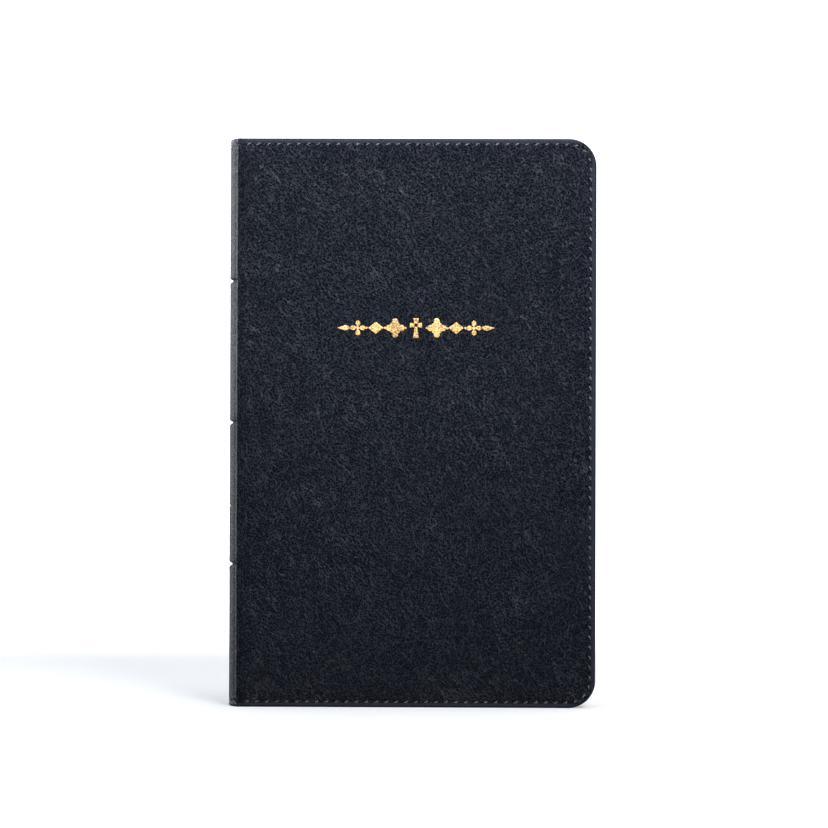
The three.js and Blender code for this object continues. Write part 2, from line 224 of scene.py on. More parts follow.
def merged(parts):
    """Several (verts, faces) as one, with the number of faces in each."""
    verts, faces, sizes, first = [], [], [], 0
    for part_verts, part_faces in parts:
        verts.append(part_verts)
        faces += [[i + first for i in face] for face in part_faces]
        sizes.append(len(part_faces))
        first += len(part_verts)
    return np.concatenate(verts), faces, sizes


# ---------------------------------------------------------------- materials
class Nodes:
    """Short hand for building a procedural material."""

    def __init__(self, name):
        self.material = bpy.data.materials.new(name)
        self.material.use_nodes = True
        self.tree = self.material.node_tree
        self.shader = self.tree.nodes["Principled BSDF"]
        place = self.tree.nodes.new("ShaderNodeTexCoord")
        scale = self.tree.nodes.new("ShaderNodeVectorMath")
        scale.operation = "SCALE"
        scale.inputs["Scale"].default_value = 1 / MM
        self.tree.links.new(place.outputs["Object"], scale.inputs[0])
        self.mm = scale.outputs[0]

    def put(self, value, socket):
        if isinstance(value, bpy.types.NodeSocket):
            self.tree.links.new(value, socket)
        else:
            socket.default_value = value

    def math(self, operation, a, b=0.0, c=0.0):
        node = self.tree.nodes.new("ShaderNodeMath")
        node.operation = operation
        for socket, value in zip(node.inputs, (a, b, c)):
            self.put(value, socket)
        return node.outputs[0]

    def vector(self, operation, a, b):
        node = self.tree.nodes.new("ShaderNodeVectorMath")
        node.operation = operation
        self.put(a, node.inputs[0])
        self.put(b, node.inputs[1])
        return node.outputs[0]

    def stretched(self, scale, turn=0.0, vector=None):
        """The position in mm, turned about Y and then scaled on each axis."""
        node = self.tree.nodes.new("ShaderNodeMapping")
        node.vector_type = "TEXTURE"
        node.inputs["Scale"].default_value = [1 / s for s in scale]
        node.inputs["Rotation"].default_value = (0, turn, 0)
        self.put(vector or self.mm, node.inputs["Vector"])
        return node.outputs[0]

    def bent(self, scale, reach):
        """The position in mm, pushed about by slow noise so that patterns drift and curl."""
        push = self.vector("SUBTRACT", self.noise(scale, 2, color=True), (0.5, 0.5, 0.5))
        bent = self.vector("MULTIPLY_ADD", push, (reach, reach, reach))
        self.put(self.mm, bent.node.inputs[2])
        return bent

    def noise(self, scale, detail=3, roughness=0.5, vector=None, color=False):
        node = self.tree.nodes.new("ShaderNodeTexNoise")
        node.inputs["Scale"].default_value = scale
        node.inputs["Detail"].default_value = detail
        node.inputs["Roughness"].default_value = roughness
        self.put(vector or self.mm, node.inputs["Vector"])
        return node.outputs["Color" if color else "Fac"]

    def voronoi(self, scale, feature, vector):
        node = self.tree.nodes.new("ShaderNodeTexVoronoi")
        node.feature = feature
        node.inputs["Scale"].default_value = scale
        self.put(vector, node.inputs["Vector"])
        return node.outputs["Distance"]

    def ridges(self, scale, length, turn, width, vector):
        """Thin lines at 1 on a field of 0, length times as long as they are apart."""
        field = self.noise(scale, 2, 0.55, self.stretched((1, 1, 1 / length), turn, vector))
        return self.ramp(self.math("ABSOLUTE", self.math("SUBTRACT", field, 0.5)), 0.0, width, 1.0, 0.0)

    def axis(self, index):
        node = self.tree.nodes.new("ShaderNodeSeparateXYZ")
        self.put(self.mm, node.inputs[0])
        return node.outputs[index]

    def ramp(self, value, low, high, start=0.0, end=1.0):
        """value from low to high becomes start to end, on a soft curve."""
        node = self.tree.nodes.new("ShaderNodeMapRange")
        node.interpolation_type = "SMOOTHSTEP"
        for socket, number in zip(node.inputs[1:5], (low, high, start, end)):
            socket.default_value = number
        self.put(value, node.inputs[0])
        return node.outputs[0]

    def mix(self, share, a, b):
        """Colour a where share is 0 and b where it is 1."""
        node = self.tree.nodes.new("ShaderNodeMix")
        node.data_type = "RGBA"
        self.put(share, node.inputs[0])
        for value, socket in ((a, node.inputs[6]), (b, node.inputs[7])):
            self.put(value if isinstance(value, bpy.types.NodeSocket) else (*value, 1), socket)
        return node.outputs[2]

    def bump(self, height, distance_mm, strength):
        node = self.tree.nodes.new("ShaderNodeBump")
        node.inputs["Strength"].default_value = strength
        node.inputs["Distance"].default_value = distance_mm * MM
        self.put(height, node.inputs["Height"])
        self.put(node.outputs[0], self.shader.inputs["Normal"])

    def surface(self, color, roughness, **constants):
        self.put(color, self.shader.inputs["Base Color"])
        self.put(roughness, self.shader.inputs["Roughness"])
        for name, value in constants.items():
            self.shader.inputs[name.replace("_", " ")].default_value = value
        return self.material


def grain_height(nodes):
    """The hide's surface from 0 to about 1: pits between fine raised wrinkles that change direction."""
    drift = nodes.bent(0.026, 13)
    curl = nodes.bent(0.5, 1.2)
    falling = nodes.ridges(0.76, 4.2, -0.60, 0.044, drift)
    upright = nodes.ridges(0.74, 3.2, 0.12, 0.038, drift)
    level = nodes.ridges(0.76, 2.4, 1.35, 0.034, drift)
    crease = nodes.ridges(0.19, 5.0, -0.55, 0.014, drift)
    patch = nodes.ramp(nodes.noise(0.055, 2), 0.40, 0.62)
    other = nodes.ramp(nodes.noise(0.075, 2, vector=drift), 0.42, 0.60)
    lines = 0.0
    for line, field, slope, base in ((falling, patch, 0.5, 0.5), (upright, patch, -0.6, 0.8),
                                     (level, other, 0.6, 0.0), (crease, other, 0.9, 0.2)):
        share = nodes.math("MULTIPLY_ADD", field, slope, base)
        lines = nodes.math("MAXIMUM", lines, nodes.math("MULTIPLY", line, share))
    pebble = nodes.ramp(nodes.voronoi(1.05, "DISTANCE_TO_EDGE", curl), 0.0, 0.16, 1.0, 0.0)
    pit = nodes.ramp(nodes.voronoi(1.05, "F1", curl), 0.15, 0.55)
    height = nodes.math("MULTIPLY", lines, 0.42)
    height = nodes.math("MULTIPLY_ADD", pebble, 0.16, height)
    return nodes.math("MULTIPLY_ADD", pit, 0.42, height)


def smooth_edges(nodes):
    """1 over the cover and 0 on the turned edge outside the stitching, where the hide is pulled smooth."""
    x, z = nodes.axis(0), nodes.axis(2)
    outside = STITCH_INSET - 0.7
    from_fore = nodes.ramp(x, FORE_X - outside - 0.5, FORE_X - outside, 1.0, 0.12)
    from_head = nodes.ramp(z, HEIGHT - outside - 0.5, HEIGHT - outside, 1.0, 0.12)
    from_tail = nodes.ramp(z, outside, outside + 0.5, 0.12, 1.0)
    return nodes.math("MULTIPLY", from_fore, nodes.math("MULTIPLY", from_head, from_tail))


def leather_material():
    nodes = Nodes("leather_navy_black")
    height = grain_height(nodes)
    grained = smooth_edges(nodes)
    blotch = nodes.noise(0.045, 3)
    # Painted highlight and painted shade: the grain's raised wrinkle lines are coloured lighter, as glints on
    # them, and its pits darker, as shade in them; blotch only varies the tone at random.
    low = nodes.mix(blotch, (0.0002, 0.0007, 0.0022), (0.0003, 0.0011, 0.0029))
    high = nodes.mix(blotch, (0.0130, 0.0145, 0.0182), (0.0225, 0.0243, 0.0292))
    color = nodes.mix(nodes.ramp(height, 0.33, 1.03), low, high)
    color = nodes.mix(grained, (0.0090, 0.0098, 0.0150), color)
    roughness = nodes.ramp(height, 0.3, 0.9, 0.52, 0.30)
    nodes.bump(nodes.math("MULTIPLY", height, grained), 0.50, 1.0)
    return nodes.surface(color, roughness, IOR=1.46, Specular_IOR_Level=0.025)


def foil_material():
    nodes = Nodes("gold_foil")
    height = grain_height(nodes)
    # Worn foil and painted shade: the gold is coloured darker and less metallic in noise patches, as wear, and
    # where the grain sits low, as shade in its pits, so that it is lighter on the raised lines.
    wear_and_shade = nodes.ramp(nodes.math("MULTIPLY_ADD", nodes.noise(1.7, 4, 0.7), 0.55, height), 0.62, 0.86)
    color = nodes.mix(wear_and_shade, (0.12, 0.075, 0.03), (0.46, 0.31, 0.13))
    metal = nodes.ramp(wear_and_shade, 0.0, 0.35, 0.35, 1.0)
    nodes.put(metal, nodes.shader.inputs["Metallic"])
    nodes.bump(height, 0.12, 0.55)
    return nodes.surface(color, nodes.ramp(nodes.noise(2.5, 3), 0.3, 0.7, 0.3, 0.5))


def twisted_thread(name, dark, light, roughness=0.62):
    nodes = Nodes(name)
    along = nodes.noise(1.4, 2, 0.5, nodes.stretched((2.2, 2.2, 2.2)))
    fuzz = nodes.noise(7.0, 3, 0.7)
    height = nodes.math("MULTIPLY_ADD", fuzz, 0.4, along)
    nodes.bump(height, 0.05, 0.7)
    color = nodes.mix(nodes.ramp(height, 0.45, 0.95), dark, light)
    return nodes.surface(color, roughness, Sheen_Weight=0.25)


def painted_hole_shade_material():
    # Painted shade: a near-black colour that stands for the shade inside a needle hole.
    nodes = Nodes("needle_hole_shade")
    return nodes.surface(nodes.mix(nodes.noise(2.0), (0.0015, 0.0018, 0.002), (0.004, 0.0045, 0.005)), 0.9)


def paper_surface(nodes, color, distance=0.02):
    fibre = nodes.noise(1.6, 4, 0.65, nodes.stretched((1, 1, 0.35)))
    speck = nodes.noise(6.0, 2)
    height = nodes.math("MULTIPLY_ADD", speck, 0.4, fibre)
    nodes.bump(height, distance, 0.5)
    tint = nodes.ramp(nodes.noise(0.05, 3), 0.3, 0.7, 0.0, 0.35)
    return nodes.mix(nodes.math("MULTIPLY_ADD", height, 0.2, tint), color, (0.47, 0.40, 0.29))


def endpaper_material():
    nodes = Nodes("endpaper_ivory")
    return nodes.surface(paper_surface(nodes, (0.56, 0.52, 0.43), 0.03), 0.82)


def page_material(low, high):
    """Thin ivory paper with two columns of generic grey dashes in lines, as set text looks from afar."""
    nodes = Nodes("page_paper")
    x, z = nodes.axis(0), nodes.axis(2)
    line_pitch, margin, gutter_margin, middle_gap, soft = 3.1, 13.0, 17.0, 2.6, 0.2
    line = nodes.math("FRACT", nodes.math("DIVIDE", z, line_pitch))
    row = nodes.math("FLOOR", nodes.math("DIVIDE", z, line_pitch))
    stroke = nodes.math("MULTIPLY", nodes.ramp(line, 0.22, 0.3), nodes.ramp(line, 0.56, 0.64, 1.0, 0.0))
    shifted = nodes.math("MULTIPLY_ADD", row, 17.31, nodes.math("MULTIPLY", x, 0.42))
    combine = nodes.tree.nodes.new("ShaderNodeCombineXYZ")
    nodes.put(shifted, combine.inputs[0])
    word = nodes.ramp(nodes.voronoi(1.0, "DISTANCE_TO_EDGE", combine.outputs[0]), 0.05, 0.09)
    letter_place = nodes.tree.nodes.new("ShaderNodeCombineXYZ")
    nodes.put(nodes.math("MULTIPLY", shifted, 7.0), letter_place.inputs[0])
    letter = nodes.ramp(nodes.noise(1.0, 1, 0.5, letter_place.outputs[0]), 0.35, 0.6, 0.45, 1.0)
    middle = (low[0] + high[0]) / 2 + 2
    from_middle = nodes.math("ABSOLUTE", nodes.math("SUBTRACT", x, middle))
    inside = nodes.ramp(from_middle, middle_gap, middle_gap + soft)
    for place, edge, start, end in ((x, low[0] + gutter_margin, 0.0, 1.0), (x, high[0] - margin, 1.0, 0.0),
                                    (z, low[2] + margin, 0.0, 1.0), (z, high[2] - margin, 1.0, 0.0)):
        inside = nodes.math("MULTIPLY", inside, nodes.ramp(place, edge, edge + soft, start, end))
    ink = nodes.math("MULTIPLY", nodes.math("MULTIPLY", stroke, word), nodes.math("MULTIPLY", inside, letter))
    ink = nodes.math("MULTIPLY", ink, 0.62)
    paper = paper_surface(nodes, (0.62, 0.59, 0.51))
    return nodes.surface(nodes.mix(ink, paper, (0.03, 0.028, 0.03)), 0.78)


def gilt_material():
    """Gilded page edges: gold leaf burnished over the edges of very thin leaves."""
    nodes = Nodes("gilt_page_edges")
    leaves = nodes.noise(1.0, 4, 0.65, nodes.stretched((0.35, 9.0, 0.35)))
    slow = nodes.noise(0.09, 3)
    nodes.bump(leaves, 0.05, 0.7)
    color = nodes.mix(nodes.ramp(leaves, 0.35, 0.62), (0.36, 0.23, 0.08), (0.86, 0.64, 0.30))
    nodes.put(nodes.ramp(slow, 0.2, 0.5, 0.75, 1.0), nodes.shader.inputs["Metallic"])
    return nodes.surface(color, nodes.ramp(leaves, 0.3, 0.7, 0.46, 0.28))


def board_material(name, dark, light):
    nodes = Nodes(name)
    fleck = nodes.noise(1.1, 5, 0.7)
    fibre = nodes.voronoi(2.4, "F1", nodes.stretched((1, 1, 0.3)))
    height = nodes.math("MULTIPLY_ADD", fibre, 0.4, fleck)
    nodes.bump(height, 0.06, 0.8)
    return nodes.surface(nodes.mix(nodes.ramp(height, 0.4, 0.95), dark, light), 0.9)


def weave_material(name, dark, light, pitch):
    """Plain weave: threads along Z over threads along Y."""
    nodes = Nodes(name)
    turn = 2 * math.pi / pitch
    across = nodes.math("SINE", nodes.math("MULTIPLY", nodes.axis(1), turn))
    up = nodes.math("SINE", nodes.math("MULTIPLY", nodes.axis(2), turn))
    over = nodes.math("MULTIPLY", across, up)
    height = nodes.math("MULTIPLY_ADD", nodes.noise(5.0, 3), 0.5, nodes.math("MULTIPLY", over, 0.5))
    nodes.bump(height, 0.08, 0.9)
    return nodes.surface(nodes.mix(nodes.ramp(height, -0.3, 0.7), dark, light), 0.85, Sheen_Weight=0.3)


def satin_material(name, dark, light):
    """Ribbon satin: fine warp lines along Z and a soft gloss."""
    nodes = Nodes(name)
    warp = nodes.noise(1.0, 3, 0.6, nodes.stretched((14.0, 3.0, 0.5)))
    rib = nodes.math("SINE", nodes.math("MULTIPLY", nodes.axis(2), 9.0))
    height = nodes.math("MULTIPLY_ADD", rib, 0.12, warp)
    nodes.bump(height, 0.03, 0.8)
    color = nodes.mix(nodes.ramp(height, 0.3, 0.8), dark, light)
    return nodes.surface(color, nodes.ramp(warp, 0.3, 0.7, 0.26, 0.42), Sheen_Weight=0.3, Anisotropic=0.4)


LEATHER = leather_material()
FOIL = foil_material()
STITCH_THREAD = twisted_thread("stitching_thread", (0.012, 0.0115, 0.012), (0.056, 0.053, 0.054))
NEEDLE_HOLE_SHADE = painted_hole_shade_material()
LINEN = twisted_thread("sewing_thread", (0.55, 0.50, 0.40), (0.86, 0.83, 0.74))
ENDPAPER = endpaper_material()
PAGE = page_material(*box_mm("section_09"))
GILT = gilt_material()
GREY_BOARD = board_material("cover_board", (0.22, 0.19, 0.15), (0.46, 0.41, 0.33))
SPINE_CARD = board_material("spine_card", (0.26, 0.22, 0.16), (0.50, 0.44, 0.34))
KRAFT = board_material("lining_paper", (0.33, 0.22, 0.11), (0.56, 0.42, 0.25))
SUPER = weave_material("super_cloth", (0.42, 0.39, 0.32), (0.82, 0.79, 0.70), 1.1)
BAND_GOLD = twisted_thread("band_silk_gold", (0.34, 0.20, 0.05), (0.80, 0.56, 0.22), roughness=0.45)
BAND_NAVY = twisted_thread("band_silk_navy", (0.006, 0.009, 0.02), (0.03, 0.04, 0.075), roughness=0.45)
BAND_TAPE = weave_material("band_tape", (0.30, 0.24, 0.14), (0.62, 0.52, 0.36), 0.6)
RIBBON = satin_material("ribbon_satin", (0.006, 0.012, 0.04), (0.03, 0.05, 0.12))


# ---------------------------------------------------------------- covers
BOTTOM_STEPS, FORE_STEPS, ARC_STEPS = 206, 326, 18
ROLL = 1.05  # how far in from the edge the leather is still rolling over
CHANNEL_HALF = 1.15
CHANNEL_DEPTH = 0.3
BOARD_WALL = 1.0
TURN_IN = 11.0
POCKET_LOW, POCKET_HIGH = 0.8, 1.6  # from the outer face inwards


def cover_ring(inset):
    """Points in x and z round the cover's outline moved in by inset, from the hinge at the tail."""
    start, end = COVER_START + inset, FORE_X - inset
    low, high = inset, HEIGHT - inset
    along = np.linspace(0, 1, BOTTOM_STEPS + 1)
    up = np.linspace(0, 1, FORE_STEPS + 1)
    turn = np.linspace(0, np.pi / 2, ARC_STEPS + 1)[1:-1]
    centre_x, radius = FORE_X - CORNER, CORNER - inset
    tail = np.stack([start + (centre_x - start) * along, np.full(len(along), low)], -1)
    fore = np.stack([np.full(len(up), end), CORNER + (HEIGHT - 2 * CORNER) * up], -1)
    lower = np.stack([centre_x + radius * np.sin(turn), CORNER - radius * np.cos(turn)], -1)
    upper = lower[::-1] * (1, -1) + (0, HEIGHT)
    head = tail[::-1] * (1, -1) + (0, HEIGHT)
    hinge = np.stack([np.full(len(up) - 2, start), high + (low - high) * up[1:-1]], -1)
    return np.concatenate([tail, lower, fore, upper, head, hinge])


def edge_distance(x, z):
    """Distance in from the tail, fore edge and head, round the corners; the hinge edge doesn't count."""
    straight = np.minimum(np.minimum(z, HEIGHT - z), FORE_X - x)
    from_x = x - (FORE_X - CORNER)
    from_z = np.maximum(CORNER - z, z - (HEIGHT - CORNER))
    round_part = CORNER - np.hypot(from_x, from_z)
    return np.where((from_x > 0) & (from_z > 0), round_part, straight)


def stitch_path(distance):
    """Points in x and z and directions along the stitch line from the hinge at the tail, and its length."""
    radius = CORNER - STITCH_INSET
    run = FORE_X - CORNER - COVER_START
    arc = radius * np.pi / 2
    fore = HEIGHT - 2 * CORNER
    ends = np.cumsum([run, arc, fore, arc, run])
    d = np.asarray(distance, float)
    lower = np.clip((d - ends[0]) / radius, 0, np.pi / 2)
    upper = np.clip((d - ends[2]) / radius, 0, np.pi / 2)
    x = COVER_START + np.minimum(d, run) + radius * np.sin(lower)
    x = x - radius * (1 - np.cos(upper)) - np.clip(d - ends[3], 0, run)
    z = STITCH_INSET + radius * (1 - np.cos(lower))
    z = z + np.clip(d - ends[1], 0, fore) + radius * np.sin(upper)
    return np.stack([x, z], -1), lower + upper, ends[-1]


STITCH_RUN = stitch_path([0])[2]
STITCH_COUNT = round(STITCH_RUN / STITCH_PITCH)
STITCH_PLACES, STITCH_ANGLES = stitch_path((np.arange(STITCH_COUNT) + 0.5) * STITCH_RUN / STITCH_COUNT)[:2]


def stitch_pull(x, z):
    """How much deeper the channel is pulled where the needle went through, from 0 to 1."""
    pull = np.zeros(len(x))
    near = np.where(np.abs(edge_distance(x, z) - STITCH_INSET) < 1.6)[0]
    for i in range(0, len(near), 4000):
        some = near[i : i + 4000]
        gap = np.hypot(x[some, None] - STITCH_PLACES[:, 0], z[some, None] - STITCH_PLACES[:, 1]).min(1)
        pull[some] = np.cos(np.clip(gap / (STITCH_PITCH / 2), 0, 1) * np.pi / 2) ** 2
    return pull


def rolled(inset, depth=1.0, reach=ROLL):
    """How far a rounded edge lies below its face, at a distance in from the edge."""
    t = np.clip(1 - inset / reach, 0, 1)
    return depth * (1 - np.sqrt(np.clip(1 - t * t, 0, 1)))


def outer_sink(x, z, inset, seed, flat_patch):
    """Depth of the cover's outer surface below its flat face: edge roll, stitch channel and creases."""
    edge = edge_distance(x, z)
    from_line = np.clip(np.abs(edge - STITCH_INSET) / CHANNEL_HALF, 0, 1)
    channel = CHANNEL_DEPTH * np.cos(from_line * np.pi / 2) ** 2 * (0.62 + 0.5 * stitch_pull(x, z))
    relief = leather_relief(x, z, seed) * smooth(0.2, 1.6, inset)
    padding = 0.07 * (1 - smooth(3.5, 11, np.minimum(edge, x - COVER_START + 2)))
    if flat_patch:
        away_x = np.abs(x - ORNAMENT_MID[0]) - ORNAMENT_HALF[0]
        away_z = np.abs(z - ORNAMENT_MID[2]) - ORNAMENT_HALF[2]
        bare = smooth(0.2, 3.0, np.maximum(away_x, away_z))
        relief = relief * bare - 0.03 * (1 - bare)
    return rolled(inset) + channel + padding - relief + 0.02


def cover_skin(side):
    """One closed leather cover: outer face, rolled edges, turn-ins and the pocket that holds the board."""
    seed = 20 if side == FRONT else 60
    thickness = OUTER_Y - INNER_Y
    half = thickness / 2
    inner_profile = [(BOARD_WALL, POCKET_LOW), (BOARD_WALL, POCKET_HIGH), (TURN_IN, POCKET_HIGH),
                     (TURN_IN, thickness - 0.05), (TURN_IN - 0.3, thickness), (6.0, thickness)]
    inner_profile += [(3.0, thickness), (1.6, thickness)]
    inner_profile += [(d, thickness - rolled(d, half)) for d in (1.0, 0.7, 0.42, 0.2, 0.06)]
    outer_insets = [0, 0.05, 0.16, 0.32, 0.52, 0.76, 1.0, 1.25, 1.5, 1.72, 1.92, 2.12, 2.3, 2.48, 2.68, 2.88,
                    3.1, 3.36, 3.7, 4.15, 4.7, 5.35, 6.05, 6.75, 7.5, 8.25, 9.0, 9.75, 10.5]
    rings = []
    for inset, depth in inner_profile:
        ring = cover_ring(inset)
        rings.append(np.stack([ring[:, 0], np.full(len(ring), depth), ring[:, 1]], -1))
    for inset in outer_insets:
        ring = cover_ring(inset)
        sink = outer_sink(ring[:, 0], ring[:, 1], inset, seed, side == FRONT)
        rings.append(np.stack([ring[:, 0], sink, ring[:, 1]], -1))
    around = len(rings[0])
    core_x = np.linspace(COVER_START + CORNER, FORE_X - CORNER, BOTTOM_STEPS + 1)
    core_z = np.linspace(CORNER, HEIGHT - CORNER, FORE_STEPS + 1)
    grid_x, grid_z = (g.ravel() for g in np.meshgrid(core_x, core_z))
    core_sink = outer_sink(grid_x, grid_z, CORNER, seed, side == FRONT)
    core = np.stack([grid_x, core_sink, grid_z], -1)
    verts = np.concatenate(rings + [core])
    first = around * len(rings)
    index = first + np.arange(len(core)).reshape(FORE_STEPS + 1, BOTTOM_STEPS + 1)
    arc = ARC_STEPS - 1
    border = np.concatenate([index[0], np.full(arc, index[0, -1]), index[:, -1], np.full(arc, index[-1, -1]),
                             index[-1, ::-1], index[-2:0:-1, 0]])
    faces = quads(len(rings), around, wrap=True) + quads(FORE_STEPS + 1, BOTTOM_STEPS + 1, first)
    last = (len(rings) - 1) * around + np.arange(around)
    for a, b, c, d in zip(last, np.roll(last, -1), np.roll(border, -1), border):
        faces.append([a, b, c, d] if c != d else [a, b, c])
    faces = [[int(i) for i in face] for face in faces]
    faces.append(list(range(around))[::-1])
    verts[:, 1] = side * (OUTER_Y - verts[:, 1])
    return verts, faces


PLY_RADIUS, PLY_TURNS, PLY_SWAY = 0.12, 1.3, 0.11
START_RADIUS = 0.13  # of the short start of the next stitch
HOLE_RADIUS, HOLE_SIDES, HOLE_DEPTH = 0.3, 10, 0.25


def stitch(place, angle, surface, side):
    """One slanted two-ply stitch as the needle left it, with the start of the next one beside its head."""
    def at(along, across, lift):
        x = place[0] + along * math.cos(angle) - across * math.sin(angle)
        z = place[1] + along * math.sin(angle) + across * math.cos(angle)
        return (x, side * (OUTER_Y - surface + lift), z)

    plies = []
    t = np.linspace(0, 1, 9)
    lift = 0.30 * np.sin(np.pi * t) ** 0.6 - 0.12
    for phase in (0, math.pi):
        twist = PLY_SWAY * np.sin(2 * np.pi * PLY_TURNS * t + phase)
        rise = 0.08 * np.cos(2 * np.pi * PLY_TURNS * t + phase)
        plies.append(tube([at(0.78 - 1.55 * k, 0.42 - 0.78 * k + w, h + r)
                           for k, w, h, r in zip(t, twist, lift, rise)], PLY_RADIUS))
    start = [at(0.62 - 0.5 * k, -0.42 + 0.12 * k, 0.14 * math.sin(math.pi * k) - 0.12)
             for k in (0, 0.35, 0.7, 1)]
    plies.append(tube(start, START_RADIUS))
    return plies


def needle_hole_shade(place, angle, surface, side):
    """A short near-black plug set into the leather at the head of a stitch, its top level with the surface:
    painted shade standing for the dark inside of the needle hole.
    """
    turn = np.linspace(0, 2 * np.pi, HOLE_SIDES, endpoint=False)
    along, across = 1.12, 0.12
    x = place[0] + along * math.cos(angle) - across * math.sin(angle)
    z = place[1] + along * math.sin(angle) + across * math.cos(angle)
    y = np.full(HOLE_SIDES, side * (OUTER_Y - surface + 0.03))
    rim = np.stack([x + HOLE_RADIUS * np.cos(turn), y, z + HOLE_RADIUS * np.sin(turn)], -1)
    floor = rim * (1, 0, 1) + (0, side * (OUTER_Y - surface - HOLE_DEPTH), 0)
    caps = [list(range(HOLE_SIDES)), list(range(HOLE_SIDES, 2 * HOLE_SIDES))]
    return np.concatenate([rim, floor]), quads(2, HOLE_SIDES, wrap=True) + caps


def stitch_mesh(places, angles, surface, side):
    """All the stitches of a line, lying surface mm below the book's face, and which faces are the dark plugs
    painted as needle-hole shade.
    """
    threads, hole_shades = [], []
    for place, angle in zip(places, angles):
        threads += stitch(place, angle, surface, side)
        hole_shades.append(needle_hole_shade(place, angle, surface, side))
    verts, faces, sizes = merged(threads + hole_shades)
    thread_faces = sum(sizes[: len(threads)])
    return verts, faces, [0] * thread_faces + [1] * (len(faces) - thread_faces)


def build_cover(side, name):
    body = f"{name}_cover"
    verts, faces = cover_skin(side)
    piece(f"{name}_cover_skin", verts, faces, [LEATHER], body, "leather", [f"{name}_cover_leather"])
    floor = CHANNEL_DEPTH * 1.05 + 0.07
    verts, faces, which = stitch_mesh(STITCH_PLACES, STITCH_ANGLES, floor, side)
    piece(f"{name}_cover_stitches", verts, faces, [STITCH_THREAD, NEEDLE_HOLE_SHADE], body, "stitching_thread",
          [f"{name}_cover_stitching"], face_material=which)


build_cover(FRONT, "front")
build_cover(BACK, "back")


# ---------------------------------------------------------------- spine
def spine_rows():
    """Heights of the spine's rows: close together at the ends, the stitch lines and the grooves."""
    marks = [(0, 1.0), (STITCH_INSET, 1.3), (HEIGHT - STITCH_INSET, 1.3), (HEIGHT, 1.0)]
    marks += [(g, GROOVE_REACH + 0.5) for g in GROOVES]
    rows = [0.0]
    while rows[-1] < HEIGHT - 0.05:
        z = rows[-1]
        close = min(max(abs(z - m) - reach, 0) for m, reach in marks)
        rows.append(z + min(0.17 + close * 0.3, 0.62))
    rows[-1] = HEIGHT
    return np.array(rows)


RIDGE_INSET, RIDGE_HALF = 0.75, 0.62  # the ridge beside each joint, in from the spine's edge
DIP_INSET, DIP_HALF = 2.3, 0.9  # the soft dip beyond that ridge


def spine_sink(angle, z):
    """Depth of the spine's surface below its round, and the ridge that stands beside each joint."""
    arc = np.abs(angle) * SPINE_RADIUS
    edge = SPINE_ANGLE * SPINE_RADIUS
    fade = 1 - smooth(edge - 3.2, edge - 0.9, arc)
    groove = sum(np.exp(-((np.abs(z - g) / (GROOVE_REACH * 0.62)) ** 2.6)) for g in GROOVES)
    puff = sum(np.exp(-((np.abs(z - g) - 2.0) / 1.3) ** 2) for g in GROOVES)
    from_line = np.minimum(np.abs(z - STITCH_INSET), np.abs(z - (HEIGHT - STITCH_INSET)))
    channel = CHANNEL_DEPTH * np.cos(np.clip(from_line / CHANNEL_HALF, 0, 1) * np.pi / 2) ** 2
    ridge = np.exp(-(((arc - (edge - RIDGE_INSET)) / RIDGE_HALF) ** 2))
    dip = np.exp(-(((arc - (edge - DIP_INSET)) / DIP_HALF) ** 2))
    lumps = 0.5 + 0.5 * value_noise(z / 1.6, angle * 3, 77)
    ends = rolled(np.minimum(z, HEIGHT - z), 0.4, 0.8)
    relief = leather_relief(angle * SPINE_RADIUS, z, 95)
    sink = GROOVE_DEPTH * groove * fade - 0.05 * puff * fade + channel + ends
    return sink - ridge * (0.13 + 0.16 * lumps) + 0.16 * dip - relief * 0.8 + 0.02


def spine_point(angle, radius, z):
    return np.stack([SPINE_CENTRE - radius * np.cos(angle), radius * np.sin(angle), z], -1)


SPINE_COLUMNS = 57
SPINE_THICKNESS = 0.95
CURL = [(0.30, 0.06), (0.52, 0.28), (0.60, 0.62)]  # how the last columns turn in towards the joint


def widened(grid, columns, side):
    """A grid of points with more columns past its first column or, for side 1, past its last."""
    extra = np.stack(columns[::side], 1)
    return np.concatenate([extra, grid] if side < 0 else [grid, extra], 1)


def build_spine():
    rows = spine_rows()
    angles = np.linspace(-SPINE_ANGLE, SPINE_ANGLE, SPINE_COLUMNS)
    angle, z = np.meshgrid(angles, rows)
    sink = spine_sink(angle, z)
    outer = spine_point(angle, SPINE_RADIUS - sink, z)
    inset = rolled(np.minimum(z, HEIGHT - z), 0.35, 0.8)
    thickness = SPINE_THICKNESS - inset - np.clip(sink - 0.6, 0, 0.5)
    inner = spine_point(angle, SPINE_RADIUS - sink - thickness, z)
    for side, end in ((-1, 0), (1, -1)):
        more_outer = [outer[:, end] + (out, -side * deep, 0) for out, deep in CURL]
        more_inner = [inner[:, end] + (0.12 * (k + 1), -side * 0.02 * k, 0) for k in range(len(CURL))]
        outer = widened(outer, more_outer, side)
        inner = widened(inner, more_inner, side)
    verts, faces = slab(outer, inner)
    piece("spine_skin", verts, faces, [LEATHER], "spine", "leather", ["spine_leather"])


def spine_stitches(name, z):
    """Stitches round the spine at one end, every pitch along its round."""
    reach = SPINE_ANGLE * SPINE_RADIUS - 0.6
    count = int(2 * reach / STITCH_PITCH)
    places = [((k - (count - 1) / 2) * STITCH_PITCH, z) for k in range(count)]
    verts, faces, which = stitch_mesh(places, [0] * count, 0, FRONT)
    # The flat run of stitches is wrapped onto the round: x becomes the arc, y the height above it.
    arc, lift, height = verts[:, 0], -verts[:, 1] - OUTER_Y - CHANNEL_DEPTH * 0.9, verts[:, 2]
    wrapped = spine_point(arc / SPINE_RADIUS, SPINE_RADIUS + lift, height)
    end = "head" if z > HEIGHT / 2 else "tail"
    piece(name, wrapped, faces, [STITCH_THREAD, NEEDLE_HOLE_SHADE], "spine", "stitching_thread",
          [f"spine_{end}_stitching"], face_material=which)


